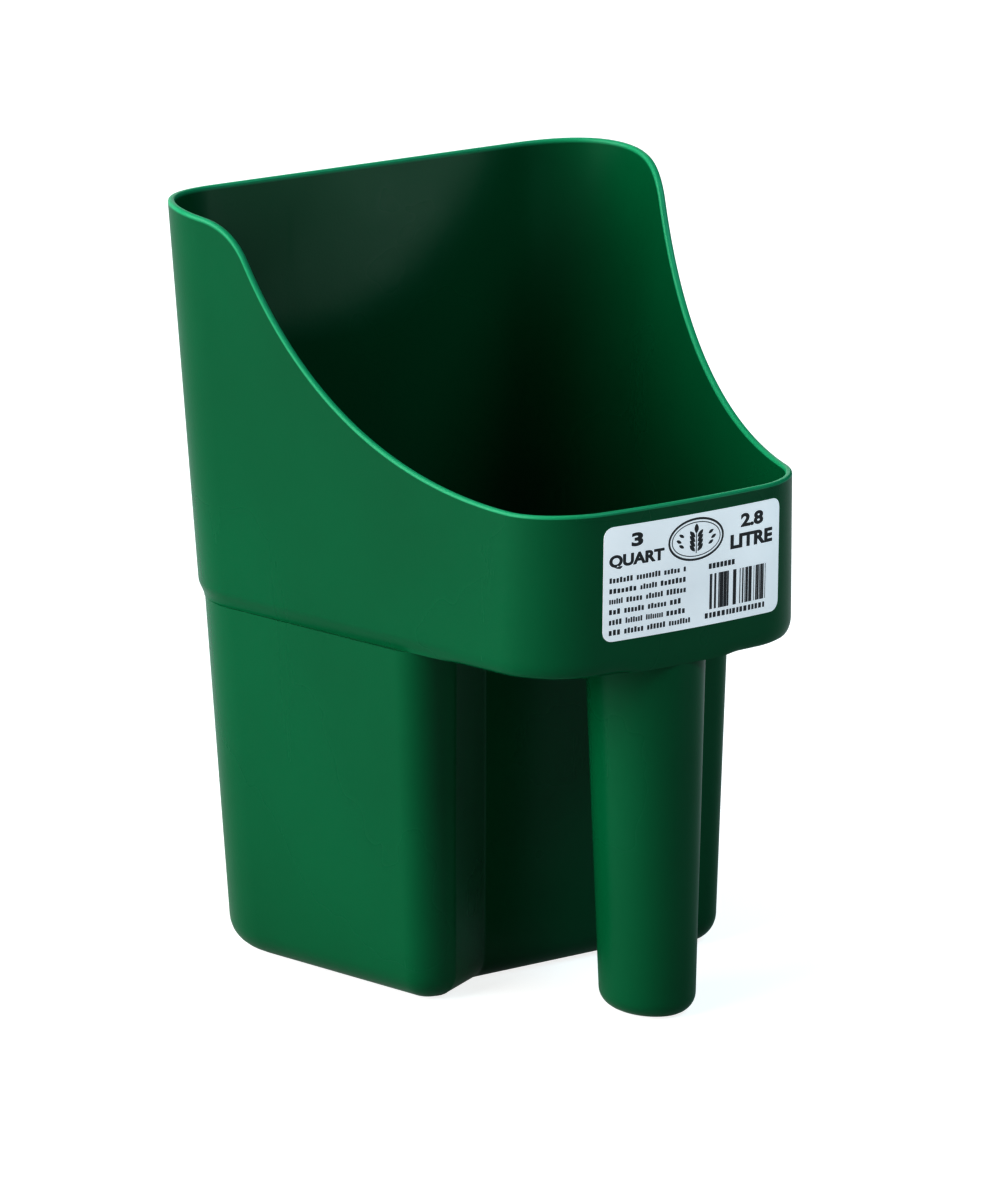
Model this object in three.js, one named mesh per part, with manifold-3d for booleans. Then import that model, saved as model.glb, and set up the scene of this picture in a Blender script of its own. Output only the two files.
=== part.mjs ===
// A three-quart feed scoop, moulded in polyethylene with walls of one thickness.
//
// The upper bin is a deep trapezoid in plan: a wide, high back that digs into the feed, sides
// that close in towards the front, and a low front lip that the feed pours over. The lower bin
// hangs under its back half and stops short of the front, so that the front of the upper bin
// overhangs. The hollow handle stands upright under that overhang, and the lower bin's front
// wall has a shallow recess behind the handle, between two rounded noses, for the knuckles.
// A printed film label is stuck on the front wall. Nothing moves.
//
// Millimetres, +Z up. The lip, the label and the handle face -Y. The scoop stands on z = 0,
// and the origin lies under the middle of its bounding box.

import * as THREE from "three";
import { mergeVertices } from "three/addons/utils/BufferGeometryUtils.js";
import Module from "manifold-3d";

const wasm = await Module();
wasm.setup();

// ---- Driving dimensions ----

// Every moulded wall and floor.
const wallThickness = 2.2;

// Heights of the upper bin: its underside, its front lip and the middle of its back wall.
const stepHeight = 117;
const lipHeight = 170;
const rimHeight = 247;

// Plan of the upper bin's outside, as virtual corners before rounding, at two heights each.
const backHalfAtStep = 87.3;
const backHalfAtRim = 97;
const backAtStep = 80.9;
const backAtRim = 82.8;
const frontHalfAtStep = 50.7;
const frontHalfAtLip = 49.3;
const frontAtStep = -93.2;
const frontAtLip = -95.2;
const backCornerRadius = 28.8;
const frontCornerRadius = 23.4;
const frontBow = 3.4; // how far the front wall bulges at its middle

// The bevel round the upper bin's bottom edge, where it steps in to the lower bin.
const stepInset = 1.5;
const stepBevelHeight = 3.8;

// Side view of the rim: a low crest over the back corners, then a corner, and down to the lip.
const rimCrestDepth = 67; // y of the crest's virtual point
const rimCrestRise = 2; // how far that point lies above the back of the rim
const rimCornerDepth = 32.4; // y of the virtual corner
const rimCornerDrop = 3.1; // how far the corner lies below the back of the rim
const rimCornerReach = 12; // how far the rounding reaches from the virtual corner
const sweepAngle = THREE.MathUtils.degToRad(67.8); // steepness just below the corner
const sweepPull = 89.7; // the corner end's handle length
const lipPull = 10.3; // the lip end's handle length

// Plan of the lower bin's outside at the ground. At its top it follows the upper bin.
const lowerBackHalf = 82.5;
const lowerBack = 74;
const noseHalf = 58.2;
const noseHalfAtStep = 62.2;
const noseFront = -35.4;
const noseFrontAtStep = -38.4;
const noseRadius = 10.5;
const recessDepth = 9.4;
const recessHalf = 29; // half width of the recess's flat
const recessMouthHalf = 46.4; // half width of the recess between the noses
const recessRadius = 3;
const lowerFillet = 9; // round edge at the ground

// The handle: an upright oval tube, closed at the ground and open into the upper bin. It
// hangs under the middle of the overhang, just inside the front wall.
const handleSetback = 0.4; // from the front wall's face to the handle's front, at the step
const handleHalfWidthAtStep = 18.1;
const handleHalfDepthAtStep = 20.6;
const handleHalfWidth = 14.1;
const handleHalfDepth = 17.4;
const handleFillet = 5.8; // round edge at the ground
const handleRootFillet = 2.5; // flare under the overhang
const handleCentre = frontAtStep - frontBow + handleSetback + handleHalfDepthAtStep;

// The film label on the front wall.
const labelWidth = 67.7;
const labelRadius = 3.4;
const labelOffset = 3.5; // how far its middle lies to the +X side
const labelAboveStep = 11.4; // from the upper bin's underside to the label's lower edge
const labelBelowLip = 4.8; // from the front lip down to the label's upper edge
const labelGap = 0.3;
const labelThickness = 0.3;

// Fineness of the curved outlines.
const arcSteps = 9;
const bowSteps = 20;
const filletSteps = 5;
const sweepSteps = 36;
const ovalSteps = 40;

// ---- Solids ----

const mix = THREE.MathUtils.lerp;

// A quarter turn in equal steps, from 0 to a right angle.
function quarterTurn(steps) {
  return Array.from({ length: steps + 1 }, (_, i) => (i / steps) * (Math.PI / 2));
}

// A closed solid through rings of equal length, given from the bottom up, each anticlockwise
// as seen from above. The first and the last ring are filled in.
function loft(rings) {
  const count = rings[0].length;
  const positions = rings.flat().flatMap((p) => [p.x, p.y, p.z]);
  const index = [];
  for (let ring = 0; ring < rings.length - 1; ring += 1) {
    for (let i = 0; i < count; i += 1) {
      const a = ring * count + i;
      const b = ring * count + ((i + 1) % count);
      index.push(a, b, b + count, a, b + count, a + count);
    }
  }
  const last = (rings.length - 1) * count;
  for (const [a, b, c] of THREE.ShapeUtils.triangulateShape(rings[0], [])) index.push(a, c, b);
  for (const [a, b, c] of THREE.ShapeUtils.triangulateShape(rings.at(-1), [])) {
    index.push(last + a, last + b, last + c);
  }
  const geometry = new THREE.BufferGeometry();
  geometry.setAttribute("position", new THREE.Float32BufferAttribute(positions, 3));
  geometry.setIndex(index);
  return geometry;
}

// A manifold-3d solid of a closed three.js geometry.
function solid(geometry) {
  const bare = geometry.clone();
  bare.deleteAttribute("normal");
  bare.deleteAttribute("uv");
  const merged = mergeVertices(bare, 1e-4);
  const mesh = new wasm.Mesh({
    numProp: 3,
    vertProperties: merged.getAttribute("position").array,
    triVerts: new Uint32Array(merged.index.array),
  });
  return new wasm.Manifold(mesh);
}

// A named three.js mesh of a manifold-3d solid.
function part(name, body, material) {
  const { vertProperties, triVerts } = body.getMesh();
  const geometry = new THREE.BufferGeometry();
  geometry.setAttribute("position", new THREE.Float32BufferAttribute(vertProperties, 3));
  geometry.setIndex(new THREE.Uint32BufferAttribute(triVerts, 1));
  geometry.computeVertexNormals();
  const mesh = new THREE.Mesh(geometry, material);
  mesh.name = name;
  return mesh;
}

// ---- Plan outlines ----

// A closed outline from its virtual corners, given anticlockwise. Every edge is moved inwards
// by inset, and then each corner is rounded: a convex one loses the inset from its radius and
// a hollow one gains it. A corner may ask for the edge after it to be split, so it can bow.
function outline(corners, inset) {
  const at = (i) => corners[(i + corners.length) % corners.length];
  const moved = corners.map((corner, i) => {
    const arriving = corner.point.clone().sub(at(i - 1).point).normalize();
    const leaving = at(i + 1).point.clone().sub(corner.point).normalize();
    const normal = new THREE.Vector2(-arriving.y - leaving.y, arriving.x + leaving.x);
    const shift = inset / (1 + arriving.dot(leaving));
    const turn = Math.sign(arriving.cross(leaving));
    const radius = Math.max(corner.radius - turn * inset, 0.5);
    const half = arriving.angleTo(leaving) / 2;
    const point = corner.point.clone().addScaledVector(normal, shift);
    return { point, arriving, leaving, turn, radius, half, splits: corner.splits ?? 1 };
  });
  const arcs = moved.map(({ point, arriving, leaving, turn, radius, half }) => {
    const reach = radius * Math.tan(half);
    const start = point.clone().addScaledVector(arriving, -reach);
    const side = new THREE.Vector2(-arriving.y, arriving.x).multiplyScalar(turn * radius);
    const centre = start.clone().add(side);
    return Array.from({ length: arcSteps + 1 }, (_, i) => {
      const angle = (turn * 2 * half * i) / arcSteps;
      return start.clone().rotateAround(centre, angle);
    });
  });
  return arcs.flatMap((arc, i) => {
    const next = arcs[(i + 1) % arcs.length][0];
    const between = [];
    for (let k = 1; k < moved[i].splits; k += 1) {
      between.push(arc.at(-1).clone().lerp(next, k / moved[i].splits));
    }
    return [...arc, ...between];
  });
}

// The upper bin's virtual corners at a height, from the front left one anticlockwise.
function upperCorners(z) {
  const toRim = (z - stepHeight) / (rimHeight - stepHeight);
  const toLip = (z - stepHeight) / (lipHeight - stepHeight);
  const backHalf = mix(backHalfAtStep, backHalfAtRim, toRim);
  const back = mix(backAtStep, backAtRim, toRim);
  const frontHalf = mix(frontHalfAtStep, frontHalfAtLip, toLip);
  const front = mix(frontAtStep, frontAtLip, toLip);
  const corner = (x, y, radius, splits) => ({ point: new THREE.Vector2(x, y), radius, splits });
  return {
    frontHalf,
    front,
    corners: [
      corner(-frontHalf, front, frontCornerRadius, bowSteps),
      corner(frontHalf, front, frontCornerRadius),
      corner(backHalf, back, backCornerRadius),
      corner(-backHalf, back, backCornerRadius),
    ],
  };
}

// How far a point of the upper bin's plan bulges forwards: most at the middle of the front
// wall, nothing at its ends, and fading out towards mid-depth.
function bulge(x, y, frontHalf, front) {
  const across = Math.max(0, 1 - (x / frontHalf) ** 2);
  const forward = THREE.MathUtils.clamp(y / front, 0, 1);
  return frontBow * across * forward ** 2;
}

// One ring of the upper bin's wall, at a height and an inset from its outside.
function upperRing(z, inset) {
  const { frontHalf, front, corners } = upperCorners(z);
  return outline(corners, inset).map(
    ({ x, y }) => new THREE.Vector3(x, y - bulge(x, y, frontHalf, front), z),
  );
}

// The half width of the upper bin's straight side wall at its underside, at a depth.
function sideAtStep(y) {
  const along = (y - frontAtStep) / (backAtStep - frontAtStep);
  return mix(frontHalfAtStep, backHalfAtStep, along);
}

// One ring of the lower bin's wall, at a height and an inset from its outside.
function lowerRing(z, inset) {
  const up = z / stepHeight;
  const backHalf = mix(lowerBackHalf, backHalfAtStep - stepInset, up);
  const back = mix(lowerBack, backAtStep - stepInset, up);
  const noseAtStep = Math.min(noseHalfAtStep, sideAtStep(noseFrontAtStep));
  const nose = mix(noseHalf, noseAtStep, up);
  const front = mix(noseFront, noseFrontAtStep, up);
  const round = Math.min(noseRadius, nose - recessMouthHalf);
  const corner = (x, y, radius) => ({ point: new THREE.Vector2(x, y), radius });
  const right = [
    corner(recessHalf, front + recessDepth, recessRadius),
    corner(recessMouthHalf, front, recessRadius),
    corner(nose, front, round),
    corner(backHalf, back, backCornerRadius),
  ];
  const left = right.map(({ point, radius }) => corner(-point.x, point.y, radius)).reverse();
  return outline([...right, ...left], inset).map(({ x, y }) => new THREE.Vector3(x, y, z));
}

// One oval ring of the handle, at a height and an inset from its outside.
function handleRing(z, inset) {
  const up = z / stepHeight;
  const halfWidth = mix(handleHalfWidth, handleHalfWidthAtStep, up) - inset;
  const halfDepth = mix(handleHalfDepth, handleHalfDepthAtStep, up) - inset;
  return Array.from({ length: ovalSteps }, (_, i) => {
    const angle = (i / ovalSteps) * 2 * Math.PI;
    const x = halfWidth * Math.cos(angle);
    return new THREE.Vector3(x, handleCentre + halfDepth * Math.sin(angle), z);
  });
}

// Rings that round the bottom edge of a closed-bottomed form, from its floor up.
function filletRings(ring, floor, radius, inset) {
  return quarterTurn(filletSteps).map((turn) => {
    const z = floor + radius * (1 - Math.cos(turn));
    return ring(z, inset + radius * (1 - Math.sin(turn)));
  });
}

// ---- The rim's side view ----

// Everything above the rim, as a solid across the whole width: from the back over the crest,
// round the corner, and in one sweeping curve down to the lip.
function aboveRim() {
  const clear = 20;
  const corner = new THREE.Vector2(rimCornerDepth, rimHeight - rimCornerDrop);
  const lip = new THREE.Vector2(frontAtLip, lipHeight);
  const steep = new THREE.Vector2(-Math.cos(sweepAngle), -Math.sin(sweepAngle));
  const sweep = new THREE.CubicBezierCurve(
    corner,
    corner.clone().addScaledVector(steep, sweepPull),
    lip.clone().add(new THREE.Vector2(lipPull, 0)),
    lip,
  );
  const back = new THREE.Vector2(backAtRim, rimHeight);
  const crest = new THREE.Vector2(rimCrestDepth, rimHeight + rimCrestRise);
  const level = crest.clone().sub(corner).normalize();
  const roundStart = corner.clone().addScaledVector(level, rimCornerReach);
  const skip = rimCornerReach / sweep.getLength();
  const roundEnd = sweep.getPointAt(skip);
  const edge = new THREE.Path();
  edge.moveTo(back.x + clear, rimHeight);
  edge.lineTo(back.x, rimHeight);
  edge.quadraticCurveTo(crest.x, crest.y, roundStart.x, roundStart.y);
  edge.quadraticCurveTo(corner.x, corner.y, roundEnd.x, roundEnd.y);
  const points = edge.getPoints(arcSteps);
  for (let i = 1; i <= sweepSteps; i += 1) {
    points.push(sweep.getPointAt(mix(skip, 1, i / sweepSteps)));
  }
  points.push(new THREE.Vector2(lip.x - clear, lipHeight));
  points.push(new THREE.Vector2(lip.x - clear, rimHeight + clear));
  points.push(new THREE.Vector2(back.x + clear, rimHeight + clear));
  const width = 2 * (backHalfAtRim + clear);
  const block = new THREE.ExtrudeGeometry(new THREE.Shape(points), {
    depth: width,
    bevelEnabled: false,
  });
  // The drawing's x runs along Y and its y up Z; the extrusion then runs along X.
  const axes = new THREE.Matrix4().makeBasis(
    new THREE.Vector3(0, 1, 0),
    new THREE.Vector3(0, 0, 1),
    new THREE.Vector3(1, 0, 0),
  );
  return solid(block.applyMatrix4(axes).translate(-width / 2, 0, 0));
}

// ---- Pieces ----

const green = { color: 0x006840, roughness: 0.36, metalness: 0 };

// Walls with a floor at the step. The floor is open over the lower bin and over the handle.
function upperBin() {
  const blankTop = rimHeight + rimCrestRise + 5;
  const floorTop = stepHeight + wallThickness;
  const outside = solid(
    loft([
      upperRing(stepHeight, stepInset),
      upperRing(stepHeight + stepBevelHeight, 0),
      upperRing(blankTop, 0),
    ]),
  );
  const inside = solid(
    loft([upperRing(floorTop, wallThickness), upperRing(blankTop + 1, wallThickness)]),
  );
  const through = (ring) =>
    solid(loft([stepHeight - 1, floorTop + 1].map((z) => ring.map((p) => p.clone().setZ(z)))));
  const binHole = through(lowerRing(stepHeight, wallThickness));
  const handleHole = through(handleRing(stepHeight, wallThickness));
  const body = outside
    .subtract(inside)
    .subtract(binHole)
    .subtract(handleHole)
    .subtract(aboveRim());
  return part("upper_bin", body, new THREE.MeshStandardMaterial(green));
}

// The round edge at the ground, which can only be as wide as the noses' front faces allow.
function groundFillet() {
  const mouthTurn = Math.atan2(recessDepth, recessMouthHalf - recessHalf);
  const noseTurn = Math.atan2(lowerBack - noseFront, lowerBackHalf - noseHalf);
  const closing = Math.tan(mouthTurn / 2) + Math.tan(noseTurn / 2);
  return Math.min(lowerFillet, (0.9 * (noseHalf - recessMouthHalf)) / closing);
}

// A deep cup whose top edge meets the upper bin's underside.
function lowerBin() {
  const fillet = groundFillet();
  const outside = solid(
    loft([...filletRings(lowerRing, 0, fillet, 0), lowerRing(stepHeight, 0)]),
  );
  const innerFillet = fillet - wallThickness;
  const inside = solid(
    loft([
      ...filletRings(lowerRing, wallThickness, innerFillet, wallThickness),
      lowerRing(stepHeight, wallThickness),
      lowerRing(stepHeight, wallThickness).map((p) => p.setZ(stepHeight + 1)),
    ]),
  );
  const body = outside.subtract(inside);
  return part("lower_bin", body, new THREE.MeshStandardMaterial(green));
}

// A tapered oval tube with a rounded closed end, flared where it meets the overhang. The flare
// goes no further forwards than the tube does, so it stays behind the front wall's face.
function handleGrip() {
  const foremost = handleCentre - handleHalfDepthAtStep;
  const flare = quarterTurn(filletSteps).map((turn) =>
    handleRing(
      stepHeight - handleRootFillet * (1 - Math.sin(turn)),
      -handleRootFillet * (1 - Math.cos(turn)),
    ).map((p) => p.setY(Math.max(p.y, foremost))),
  );
  const outside = solid(loft([...filletRings(handleRing, 0, handleFillet, 0), ...flare]));
  const innerFillet = handleFillet - wallThickness;
  const inside = solid(
    loft([
      ...filletRings(handleRing, wallThickness, innerFillet, wallThickness),
      handleRing(stepHeight, wallThickness),
      handleRing(stepHeight, wallThickness).map((p) => p.setZ(stepHeight + 1)),
    ]),
  );
  const body = outside.subtract(inside);
  return part("handle_grip", body, new THREE.MeshStandardMaterial(green));
}

// A point in front of the front wall: along is the distance round the wall from its middle,
// and off is the clearance to the wall. The wall is straight and then turns round a corner.
function beforeFrontWall(along, z, off) {
  const { frontHalf, front, corners } = upperCorners(z);
  const side = corners[2].point.clone().sub(corners[1].point);
  const halfTurn = side.angle() / 2;
  const straight = frontHalf - frontCornerRadius * Math.tan(halfTurn);
  const turned = Math.max(0, Math.abs(along) - straight) / frontCornerRadius;
  const reach = frontCornerRadius + off;
  const x = Math.min(Math.abs(along), straight) + reach * Math.sin(turned);
  const y = front + frontCornerRadius - reach * Math.cos(turned);
  return new THREE.Vector3(Math.sign(along) * x, y - bulge(x, y, frontHalf, front), z);
}

// A thin sheet with rounded corners that follows the front wall.
function labelFilm() {
  const bottom = stepHeight + labelAboveStep;
  const top = lipHeight - labelBelowLip;
  const columns = 24;
  const level = (z, halfWidth) => {
    const columnAt = (i) => labelOffset + halfWidth * ((2 * i) / columns - 1);
    const steps = Array.from({ length: columns + 1 }, (_, i) => columnAt(i));
    const outer = steps.map((s) => beforeFrontWall(s, z, labelGap + labelThickness));
    const inner = steps.map((s) => beforeFrontWall(s, z, labelGap)).reverse();
    return [...outer, ...inner];
  };
  const rounding = quarterTurn(filletSteps).map((turn) => ({
    rise: labelRadius * (1 - Math.cos(turn)),
    half: labelWidth / 2 - labelRadius * (1 - Math.sin(turn)),
  }));
  const lower = rounding.map(({ rise, half }) => level(bottom + rise, half));
  const upper = rounding.map(({ rise, half }) => level(top - rise, half));
  const body = solid(loft([...lower, ...upper.reverse()]));
  const white = new THREE.MeshStandardMaterial({ color: 0xe6e8ec, roughness: 0.45 });
  return part("label_film", body, white);
}

// ---- The scoop ----

const scoop = new THREE.Group();
scoop.name = "feed_scoop";
scoop.add(upperBin(), lowerBin(), handleGrip(), labelFilm());

// The origin goes under the middle of the whole scoop.
const middle = new THREE.Box3().setFromObject(scoop).getCenter(new THREE.Vector3());
scoop.position.set(0, -middle.y, 0);

export default scoop;
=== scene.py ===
"""The looks of a three-quart moulded feed scoop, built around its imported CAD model.

The moulding is shown as three closed shells that meet face to face at the step: the upper bin,
the lower bin and the handle. A printed film label is stuck on the front wall. Every length is
in metres. The lip, the label and the handle face -Y, and the scoop stands on z = 0.
"""

import math

import bmesh
import bpy
import numpy as np
from bpy.props import FloatProperty, FloatVectorProperty, IntProperty
from bpy.props import PointerProperty, StringProperty
from mathutils import Matrix, Vector
from mathutils.geometry import tessellate_polygon


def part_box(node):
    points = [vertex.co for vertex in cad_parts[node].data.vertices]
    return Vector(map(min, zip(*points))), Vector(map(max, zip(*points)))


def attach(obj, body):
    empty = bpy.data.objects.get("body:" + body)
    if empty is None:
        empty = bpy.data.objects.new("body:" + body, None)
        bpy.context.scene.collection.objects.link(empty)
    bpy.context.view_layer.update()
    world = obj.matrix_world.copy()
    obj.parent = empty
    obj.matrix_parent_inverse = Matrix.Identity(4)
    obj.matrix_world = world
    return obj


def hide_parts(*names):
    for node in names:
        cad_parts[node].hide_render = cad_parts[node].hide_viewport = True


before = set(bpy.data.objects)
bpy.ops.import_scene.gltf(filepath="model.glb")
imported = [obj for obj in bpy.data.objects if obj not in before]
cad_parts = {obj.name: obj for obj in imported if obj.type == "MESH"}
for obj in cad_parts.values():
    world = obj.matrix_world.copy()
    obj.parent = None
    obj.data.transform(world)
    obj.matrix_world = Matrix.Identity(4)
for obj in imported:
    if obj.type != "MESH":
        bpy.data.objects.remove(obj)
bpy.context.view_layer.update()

MM = 0.001
CLEARANCE = 0.02 * MM  # how far the rounded forms stay inside the CAD model's box

bl_info = {
    "name": "Feed scoop",
    "version": (1, 0, 0),
    "blender": (4, 5, 0),
    "location": "3D View > Sidebar > Feed scoop",
    "description": "A moulded plastic feed scoop with a printed film label",
    "category": "Object",
}

BODY = "root"

MERGE_DISTANCE = 1e-7  # points nearer than this are one point
LEVEL = 0.99999  # a face whose normal is this upright is level
CREASE = math.radians(40)  # sharper bends than this stay sharp when shaded

ROUND_STEPS = 16  # steps of an upper bin corner, in plan
UPPER_STEPS = (48, 72, 36, 72)  # steps of its front, right side, back and left side
LOWER_ROUND_STEPS = 12
LOWER_STEPS = (8, 4, 48, 36, 48, 4, 8, 24)  # from the recess's right slope round to its flat
OVAL_STEPS = 96
RIM_PASSES = 8  # repeats that settle the rim's height
NEAR_RIM = (0.985, 0.994)  # rows close under the rim, which keep its shading local

# The overhang's own lower edge takes over from the step between these depths, and the front
# wall is clear of the handle, and then near its corners, between these distances sideways.
OVERHANG_START, OVERHANG_END = 40 * MM, 62 * MM
HANDLE_SIDE_START, HANDLE_SIDE_END = 14 * MM, 24 * MM
FRONT_CORNER_START, FRONT_CORNER_END = 24 * MM, 36 * MM
EDGE_BY_HANDLE = 0.15  # the share of the overhang's rounding that is left over the handle

# Roundings inside the upper bin, between its walls and floor and over the floor's two holes.
FLOOR_ROUND, FLOOR_ROUND_BY_HANDLE, FLOOR_ROUND_AT_CORNERS = 0.6 * MM, 0.2 * MM, 2.4 * MM
BIN_HOLE_ROUND = 0.6 * MM
HANDLE_HOLE_ROUND_FRONT, HANDLE_HOLE_ROUND_BACK = 0.15 * MM, 1.2 * MM


# ---- Sizes and colours ----


def length(name, description, millimetres):
    """A length property, given in millimetres and kept in metres."""
    return FloatProperty(
        name=name, description=description, default=millimetres * MM, unit="LENGTH", precision=5
    )


def angle(name, description, degrees):
    """An angle property, given in degrees and kept in radians."""
    return FloatProperty(
        name=name, description=description, default=math.radians(degrees), unit="ROTATION"
    )


def colour(name, description, value):
    """A linear colour property."""
    return FloatVectorProperty(
        name=name, description=description, default=value, size=3, min=0, max=1, subtype="COLOR"
    )


def factor(name, description, value):
    """A share between 0 and 1."""
    return FloatProperty(
        name=name, description=description, default=value, min=0, max=1, subtype="FACTOR"
    )


def power(name, description, watts):
    """A light's power."""
    return FloatProperty(name=name, description=description, default=watts, unit="POWER")


class UpperBinSizes(bpy.types.PropertyGroup):
    """Sizes of the upper bin. Plan corners are virtual, before rounding."""

    wall: length("Wall", "Thickness of every moulded wall and floor", 2.2)
    step_height: length("Step height", "Height of the upper bin's underside", 117)
    lip_height: length("Lip height", "Height of the front lip", 170)
    rim_height: length("Rim height", "Height of the middle of the back wall", 247)
    back_half_at_step: length("Back half width at step", "Half width of the back, low down", 87.3)
    back_half_at_rim: length("Back half width at rim", "Half width of the back at the rim", 97)
    back_at_step: length("Back at step", "Depth of the back wall, low down", 80.9)
    back_at_rim: length("Back at rim", "Depth of the back wall at the rim", 82.8)
    front_half_at_step: length("Front half width at step", "Half width of the front", 50.7)
    front_half_at_lip: length("Front half width at lip", "Half width of the front at the lip", 49.3)
    front_at_step: length("Front at step", "Depth of the front wall, low down", -93.2)
    front_at_lip: length("Front at lip", "Depth of the front wall at the lip", -95.2)
    back_radius: length("Back corner radius", "Rounding of the back corners in plan", 29.0)
    front_radius: length("Front corner radius", "Rounding of the front corners in plan", 23.4)
    front_bow: length("Front bow", "How far the front wall bulges at its middle", 3.4)
    step_inset: length("Step inset", "How far the step goes in at the sides and back", 1.5)
    step_rise: length("Step rise", "Height of the slope over the step", 5.6)
    overhang_round: length("Overhang round", "Rounding of the overhang's lower edge", 2.6)
    crest_depth: length("Crest depth", "Depth of the low crest of the rim", 67)
    crest_rise: length("Crest rise", "How far the crest's virtual point rises", 2)
    corner_depth: length("Rim corner depth", "Depth of the corner where the rim turns down", 32.4)
    corner_drop: length("Rim corner drop", "How far that corner lies under the back rim", 3.1)
    corner_reach: length("Rim corner reach", "How far its rounding reaches", 12)
    sweep_angle: angle("Sweep angle", "Steepness of the rim just under the corner", 67.8)
    sweep_pull: length("Sweep pull", "Length of the curve's handle at the corner", 89.7)
    lip_pull: length("Lip pull", "Length of the curve's handle at the lip", 10.3)
    rim_round: length("Rim round", "Rounding of the rim's two edges", 0.85)


class LowerBinSizes(bpy.types.PropertyGroup):
    """Sizes of the lower bin."""

    back_half: length("Back half width", "Half width of the back at the ground", 82.5)
    back: length("Back", "Depth of the back wall at the ground", 74)
    nose_half: length("Nose half width", "Half width at the noses, at the ground", 58.2)
    nose_half_at_step: length("Nose half width at step", "Half width at the noses, at the top", 62.2)
    nose_front: length("Nose front", "Depth of the noses at the ground", -35.4)
    nose_front_at_step: length("Nose front at step", "Depth of the noses at the top", -38.4)
    nose_radius: length("Nose radius", "Rounding of the noses in plan", 10.5)
    recess_depth: length("Recess depth", "Depth of the recess for the knuckles", 9.4)
    recess_half: length("Recess half width", "Half width of the recess's flat", 29)
    mouth_half: length("Recess mouth", "Half width of the recess between the noses", 46.4)
    recess_radius: length("Recess radius", "Rounding of the recess's corners", 3)
    fillet: length("Ground rounding", "Round edge at the ground", 9)


class HandleSizes(bpy.types.PropertyGroup):
    """Sizes of the handle."""

    centre: length("Centre", "Depth of the handle's middle", -75.6)
    half_width_at_step: length("Half width at step", "Half width at the top", 18.1)
    half_depth_at_step: length("Half depth at step", "Half depth at the top", 20.6)
    half_width: length("Half width", "Half width at the ground", 14.1)
    half_depth: length("Half depth", "Half depth at the ground", 17.4)
    fillet: length("Ground rounding", "Round edge at the ground", 5.8)
    root_round: length("Root rounding", "Hollow rounding where the handle meets the overhang", 2.5)


class LabelSizes(bpy.types.PropertyGroup):
    """Sizes and printing of the label."""

    width: length("Width", "Width of the label, round the wall", 67.7)
    height: length("Height", "Height of the label", 36.8)
    radius: length("Corner radius", "Rounding of the label's corners", 3.4)
    offset: length("Offset", "How far the label's middle lies off the middle of the wall", 3.5)
    above_step: length("Above step", "From the underside of the overhang to the label", 11.4)
    thickness: length("Thickness", "Thickness of the film", 0.14)
    stand_off: length("Stand-off", "How far the back of the film lies off the wall", 0.08)
    ink: length("Ink", "Thickness of the printing", 0.02)
    left_top: StringProperty(name="Left, top", description="Measure, first unit", default="3")
    left_low: StringProperty(name="Left, low", description="First unit", default="QUART")
    right_top: StringProperty(name="Right, top", description="Measure, second unit", default="2.8")
    right_low: StringProperty(name="Right, low", description="Second unit", default="LITRE")
    seed: IntProperty(name="Seed", description="Pattern of the small print and the bars", default=7)


class FinishColours(bpy.types.PropertyGroup):
    """Colours and finishes."""

    green: colour("Green", "The moulding's colour", (0.0, 0.138, 0.055))
    deep_green: colour("Deep green", "The moulding's darker mottling", (0.0, 0.116, 0.045))
    # Rim green is a painted highlight: a lighter green on the rim's marked rows, standing for the
    # top light and the light that shines through the thin edge.
    rim_highlight_green: colour("Rim green", "The thin, light-passing edge of the rim", (0.03, 0.40, 0.19))
    plastic_roughness: factor("Plastic roughness", "Roughness of the moulding", 0.30)
    film: colour("Film", "The label's white", (0.86, 0.87, 0.90))
    film_grey: colour("Film grey", "Faint handling marks on the label", (0.76, 0.77, 0.80))
    ink: colour("Ink", "The printing's black", (0.018, 0.018, 0.022))
    ink_grey: colour("Ink grey", "Where the printing is thin", (0.055, 0.055, 0.062))
    floor: colour("Floor", "The studio floor", (0.50, 0.50, 0.50))
    floor_shine: factor("Floor shine", "How much of that glow shows in reflections", 0.22)
    floor_glow: factor("Floor glow", "How far the floor glows when it is looked at", 0.6)


class StageSettings(bpy.types.PropertyGroup):
    """Camera and lights."""

    camera_turn: angle("Camera turn", "How far the camera stands to the left of the front", 33.68)
    camera_rise: angle("Camera rise", "How far the camera stands above the horizon", 14.78)
    camera_roll: angle("Camera roll", "How far the camera is rolled", -0.62)
    camera_distance: length("Camera distance", "From the camera to its target", 2277.7)
    target_across: length("Target across", "How far the target lies right of the middle", -3.41)
    target_height: length("Target height", "Height of the target", 117.1)
    lens: FloatProperty(name="Lens", description="Focal length", default=212.28, unit="CAMERA")
    floor_half: length("Floor half width", "Half the width of the floor", 12000)
    key_power: power("Key power", "Power of the light at the left", 60)
    top_power: power("Top power", "Power of the overhead light", 7)
    fill_power: power("Fill power", "Power of the light at the front", 20)
    back_power: power("Back power", "Power of the light behind", 9)
    card_power: power("Card power", "Power of the low card that shows in reflections", 4)
    surround: FloatProperty(
        name="Surround", description="Strength of the light from all round", default=0.03, min=0
    )


class ScoopSettings(bpy.types.PropertyGroup):
    """Everything that a user would change."""

    upper: PointerProperty(type=UpperBinSizes)
    lower: PointerProperty(type=LowerBinSizes)
    handle: PointerProperty(type=HandleSizes)
    label: PointerProperty(type=LabelSizes)
    finish: PointerProperty(type=FinishColours)
    stage: PointerProperty(type=StageSettings)


def settings():
    """The scoop's settings in the current scene."""
    return bpy.context.scene.feed_scoop


# ---- Curves and grids ----


def mix(a, b, share):
    """From a to b as share goes from 0 to 1."""
    return a + (b - a) * share


def smooth(value, start, end):
    """0 up to start, 1 from end on, and between them 3t^2 - 2t^3."""
    t = np.clip((value - start) / (end - start), 0, 1)
    return t * t * (3 - 2 * t)


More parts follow.
